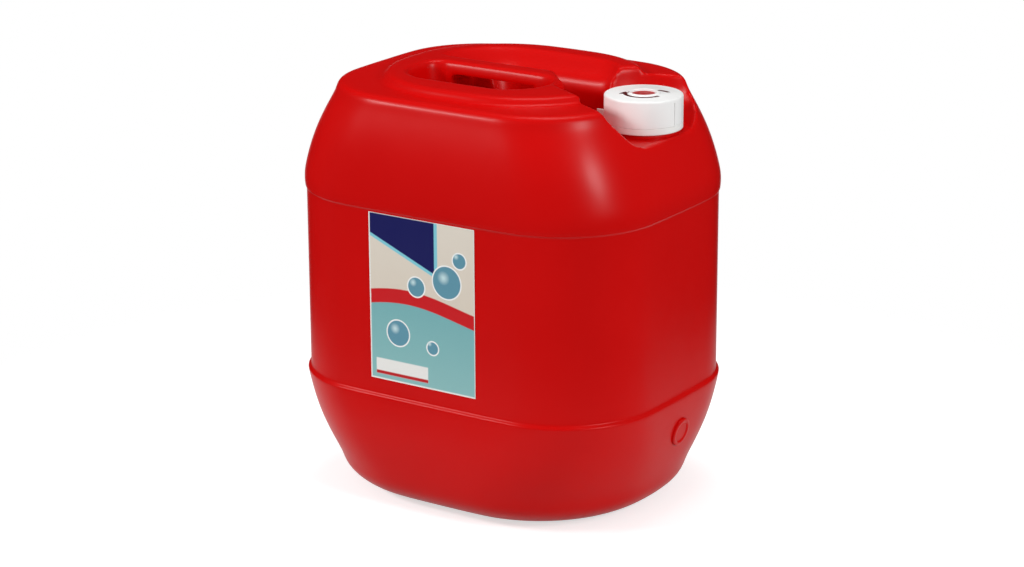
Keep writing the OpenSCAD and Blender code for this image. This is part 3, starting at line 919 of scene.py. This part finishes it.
def disc(cx, cy, r, soft=0.5):
    """1 inside a circle: its middle in shares of the label, its radius in millimetres."""
    du, dv = (u - cx) * LABEL_WIDE, (v - cy) * LABEL_TALL
    return ((r - (du * du + dv * dv).root()) / soft).clamped()


print("label:", LABEL_WIDE, "by", LABEL_TALL, "mm")

# %% Fields, sweep and corner
art = film.mixed(v, srgb(214, 200, 182), srgb(226, 218, 205))
teal = film.mixed(v * 2.0, srgb(140, 190, 190), srgb(120, 178, 182))
sweep = 0.44 + (u * 3.3 + 0.4).sine() * 0.05
art = film.mixed(1.0 - above(v, sweep), art, teal)
art = film.mixed(within(v, sweep - 0.01, sweep + 0.075), art, srgb(205, 20, 28))
edge = above(v, 0.86 - u * 0.3) * (1.0 - above(u, 0.65))
navy = above(v, 0.88 - u * 0.3) * (1.0 - above(u, 0.62))
art = film.mixed(edge, art, srgb(130, 205, 220))
art = film.mixed(navy, art, srgb(24, 26, 92))
print("fields laid:", len(film.tree.nodes), "nodes")

# %% Bubbles
BUBBLES = ((0.74, 0.66, 15.0), (0.45, 0.60, 9.0), (0.86, 0.80, 7.0),
           (0.27, 0.30, 12.0), (0.60, 0.25, 6.0))
for cx, cy, r in BUBBLES:
    art = film.mixed(disc(cx, cy, r + 1.3), art, srgb(245, 246, 244))
    art = film.mixed(disc(cx, cy, r), art, srgb(96, 150, 170))
    art = film.mixed(disc(cx - 0.03, cy + 0.025, r * 0.45, r * 0.4), art, srgb(196, 224, 228))
print("bubbles:", len(BUBBLES))

# %% Panel, border and film
panel = within(u, 0.05, 0.55) * within(v, 0.03, 0.125)
art = film.mixed(panel, art, srgb(236, 236, 232))
art = film.mixed(panel * (1.0 - above(v, 0.05)), art, srgb(190, 22, 28))
printed = within(u, 0.008, 0.992) * within(v, 0.006, 0.994)
art = film.mixed(printed, srgb(238, 238, 234), art)
film.wire(Base_Color=art, Roughness=0.34 + film.noise(60.0, 3.0) * 0.08,
          Normal=film.bump(film.noise(35.0, 2.0), 0.0003, 0.25))
film.on(frame["nodes"]["label"])
print("label film has", len(film.tree.nodes), "nodes")

# %% [markdown]
# ## Floor, lamps and background
# A pale floor carries the soft shadow. Three soft lamps and a dim world light the
# canister at a plain level. The floor glows only for the rays that the camera sees, so it
# looks white without lighting the canister, and it fades out a little way off, where the
# white background takes over. A larger lamp for it would wash out the red.

# %% Floor
bm = bmesh.new()
bmesh.ops.create_grid(bm, x_segments=2, y_segments=2, size=6)
floor = piece("floor", bm)
ground = Finish("pale_floor", Roughness=0.9, Specular_IOR_Level=0.0)
ground.shader.inputs["Base Color"].default_value = (0.62, 0.62, 0.62, 1)
ground.shader.inputs["Emission Strength"].default_value = 0.62
SEEN_RAYS = ("Is Camera Ray", "Is Glossy Ray", "Is Transmission Ray")


def rays(finish):
    """Which kind of ray meets this place: one wire for each of SEEN_RAYS."""
    path = finish.tree.nodes.new("ShaderNodeLightPath")
    return [Wire(finish, path.outputs[name]) for name in SEEN_RAYS]


print("floor made, it will glow for", len(SEEN_RAYS), "kinds of rays")

# %% Floor that glows near the canister
GLOSS_SHARE, FADE_FROM, FADE_OVER = 0.4, 0.34, 0.3
straight, glossy, through = rays(ground)
glow = straight.math("MAXIMUM", glossy * GLOSS_SHARE).math("MAXIMUM", through)
x, y, z = ground.axes()
near = 1.0 - (((x * x + y * y).root() - FADE_FROM) / FADE_OVER).clamped()
clear = ground.node("ShaderNodeBsdfTransparent")
lit = Wire(ground, ground.shader.outputs[0])
blend = ground.node("ShaderNodeMixShader", None, {0: near, 1: clear, 2: lit})
ground.wire(Emission_Color=glow)
ground.tree.links.new(blend.socket, ground.tree.nodes["Material Output"].inputs["Surface"])
ground.on(floor)
print("the floor fades from", FADE_FROM, "m on, over", FADE_OVER, "m")

# %% [markdown]
# The world is white where the camera looks past the canister. A reflection finds the
# same white in the backdrop behind the canister, and a dim studio in front of it, so
# the red keeps its depth. An HDRI would bring its own room into the gloss.

# %% World
world = bpy.data.worlds.new("studio")
bpy.context.scene.world = world
world.use_nodes = True


class Sky(Finish):
    def __init__(self, of_world):
        self.tree = of_world.node_tree
        self.shader = self.tree.nodes["Background"]


sky = Sky(world)
AMBIENT, STUDIO = 0.44, 0.01
straight, glossy, through = rays(sky)
heading = sky.node("ShaderNodeTexCoord", out=0)
DOT_VALUE = 1
ahead = sky.node("ShaderNodeVectorMath", {"operation": "DOT_PRODUCT"}, {0: heading, 1: -back},
                 out=DOT_VALUE)
backdrop = ((ahead - 0.94) / 0.04).clamped()
mirrored = glossy.math("MAXIMUM", through)
room = backdrop * (1.0 - STUDIO) + STUDIO
indirect = mirrored * room + (1.0 - mirrored) * AMBIENT
sky.shader.inputs["Color"].default_value = (1, 1, 1, 1)
sky.wire(Strength=straight + (1.0 - straight) * indirect)
print("world:", AMBIENT, "on dull surfaces,", STUDIO, "in the gloss")

# %% [markdown]
# The key lamp stands high on the left and draws the soft streak on the shoulder. A tall
# strip on the right gives the bright patch on the front corner, and a wide lamp above
# fills the top. Area lamps show as soft shapes in gloss; a sun or a point would not.

# %% Lamps
def lamp(name, at, aim, width, height, power):
    """A rectangular lamp in metres and watts that looks at aim."""
    data = bpy.data.lights.new(name, "AREA")
    data.shape, data.size, data.size_y, data.energy = "RECTANGLE", width, height, power
    obj = bpy.data.objects.new(name, data)
    look = (Vector(aim) - Vector(at)).to_track_quat("-Z", "Y")
    obj.matrix_world = Matrix.Translation(at) @ look.to_matrix().to_4x4()
    bpy.context.scene.collection.objects.link(obj)


lamp("key", (-1.6, -1.9, 1.62), (0, 0, 0.25), 0.9, 0.4, 41)
lamp("strip", (2.3, -0.55, 1.35), (0.15, -0.1, 0.32), 0.52, 0.8, 28)
lamp("top", (0.0, 0.3, 2.6), (0, 0, 0.2), 1.2, 1.0, 17)

# %% [markdown]
# ## Colour view
# The Standard view shows colours as they are written.

bpy.context.scene.view_settings.view_transform = "Standard"
